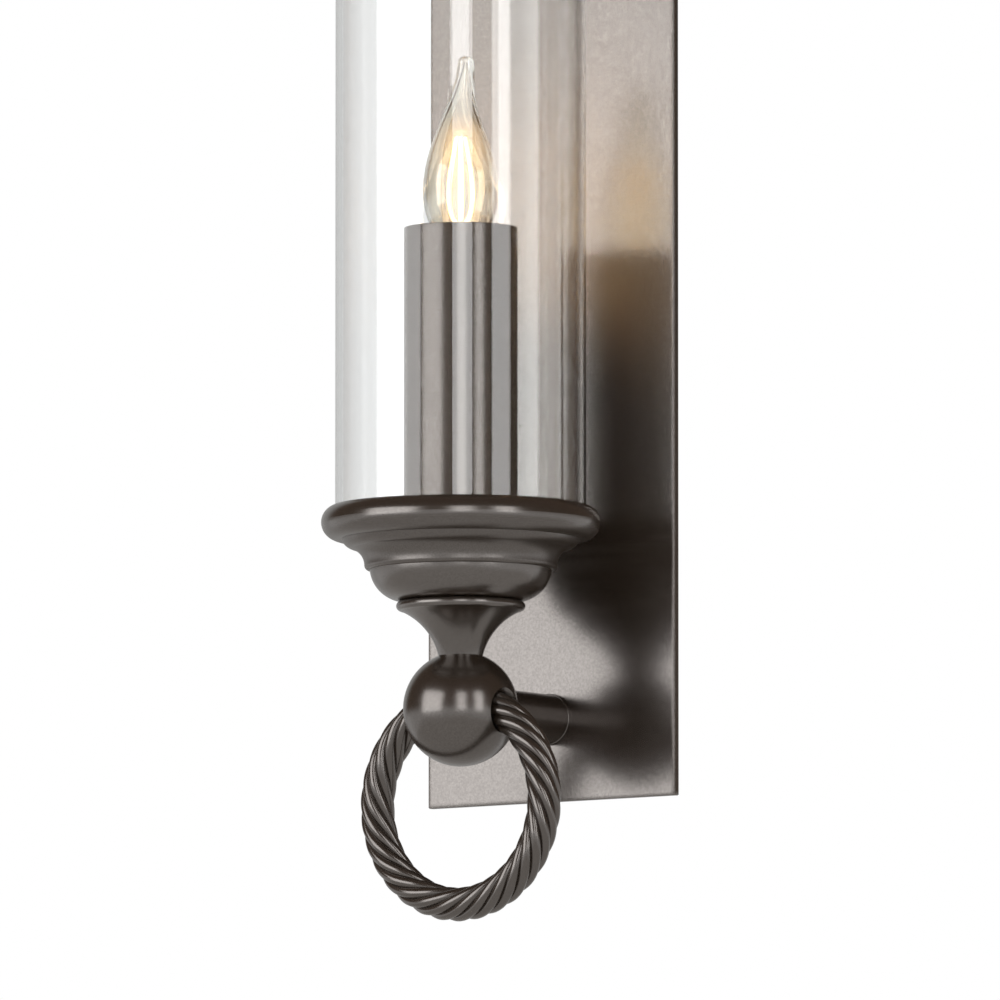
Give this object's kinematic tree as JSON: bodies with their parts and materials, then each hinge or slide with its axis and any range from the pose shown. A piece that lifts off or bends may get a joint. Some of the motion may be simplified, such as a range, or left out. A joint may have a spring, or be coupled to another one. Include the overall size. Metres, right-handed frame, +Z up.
{
  "type": "wall sconce candle holder",
  "caption": "Wall sconce: an electric candle in a clear glass cylinder on a turned cup, carried by a ball with a twisted rope ring on an arm from a tall flat plate.",
  "frame": {"origin": "middle of the wall bracket's slot pattern, on the wall", "axes": "+Z up, +X along the plate's width to the right as seen from the room, -Y from the wall into the room"},
  "size_m": [0.135, 0.1558, 0.5149],
  "materials": {
    "zinc_steel": "zinc plated",
    "ground_screw": "green dyed zinc",
    "bronze_hardware": "satin dark bronze",
    "bronze_frame": "satin dark bronze",
    "bronze_plate": "satin dark bronze, brushed across",
    "bronze_arm": "satin dark bronze",
    "bronze_turned": "satin dark bronze, turned",
    "bronze_seat": "satin dark bronze",
    "bronze_sleeve": "satin dark bronze",
    "bronze_rope": "polished dark bronze",
    "brass": "plain",
    "phenolic": "moulded",
    "clear_silicone": "translucent silicone",
    "shade_glass": "clear",
    "bulb_glass": "clear",
    "base_glass": "black glass",
    "base_glass_clear": "clear",
    "nickel": "rolled nickel plate",
    "nickel_wire": "drawn",
    "solder": "dull solder",
    "filament": "phosphor coated, lit"
  },
  "bodies": {
    "fixture": {"wall_bracket": "zinc_steel", "ground_screw": "ground_screw", "side_screws": "bronze_hardware", "rear_frame": "bronze_frame", "frame_studs": "zinc_steel", "frame_nuts": "zinc_steel", "backplate": "bronze_plate", "arm_tube": "bronze_arm", "arm_collar": "bronze_arm", "arm_rod": "zinc_steel", "arm_washer": "zinc_steel", "arm_nut": "brass", "ball": "bronze_turned", "ring_tube": "bronze_turned", "neck": "bronze_turned", "bowl": "bronze_turned", "dish": "bronze_turned", "glass_gasket": "clear_silicone", "sleeve_seat": "bronze_seat", "centre_rod": "zinc_steel", "stack_washer": "zinc_steel", "stack_nut": "brass", "holder_cap": "brass", "holder_body": "phenolic", "holder_shell": "brass", "contact_spring": "brass"},
    "ring": {"drop_ring": "bronze_rope"},
    "shade": {"glass_shade": "shade_glass"},
    "sleeve": {"candle_sleeve": "bronze_sleeve"},
    "bulb_tip": {"bulb_contact": "solder"},
    "bulb": {"bulb_base": "nickel", "bulb_insulator": "base_glass", "bulb_glass": "bulb_glass", "bulb_stem": "base_glass_clear", "filament_wires": "nickel_wire", "filaments": "filament"}
  },
  "joints": [
    {"name": "ring_swing", "type": "hinge", "parent": "fixture", "child": "ring", "pos_m": [0, -0.0915, -0.19385], "axis": [1, 0, 0], "range_deg": [-141, 57.5]},
    {"name": "shade_lift", "type": "slide", "parent": "fixture", "child": "shade", "axis": [0, 0, 1], "range_m": [0, 0.22]},
    {"name": "sleeve_lift", "type": "slide", "parent": "fixture", "child": "sleeve", "axis": [0, 0, 1], "range_m": [0, 0.23]},
    {"name": "bulb_rise", "type": "slide", "parent": "fixture", "child": "bulb_tip", "axis": [0, 0, 1], "range_m": [0, 0.0102]},
    {"name": "bulb_turn", "type": "hinge", "parent": "bulb_tip", "child": "bulb", "pos_m": [0, -0.0915, 0], "axis": [0, 0, 1], "range_deg": [0, 1440]}
  ],
  "couplings": [
    {"joint": "bulb_rise", "follows": "bulb_turn", "m_per_rad": 0.00040425}
  ]
}
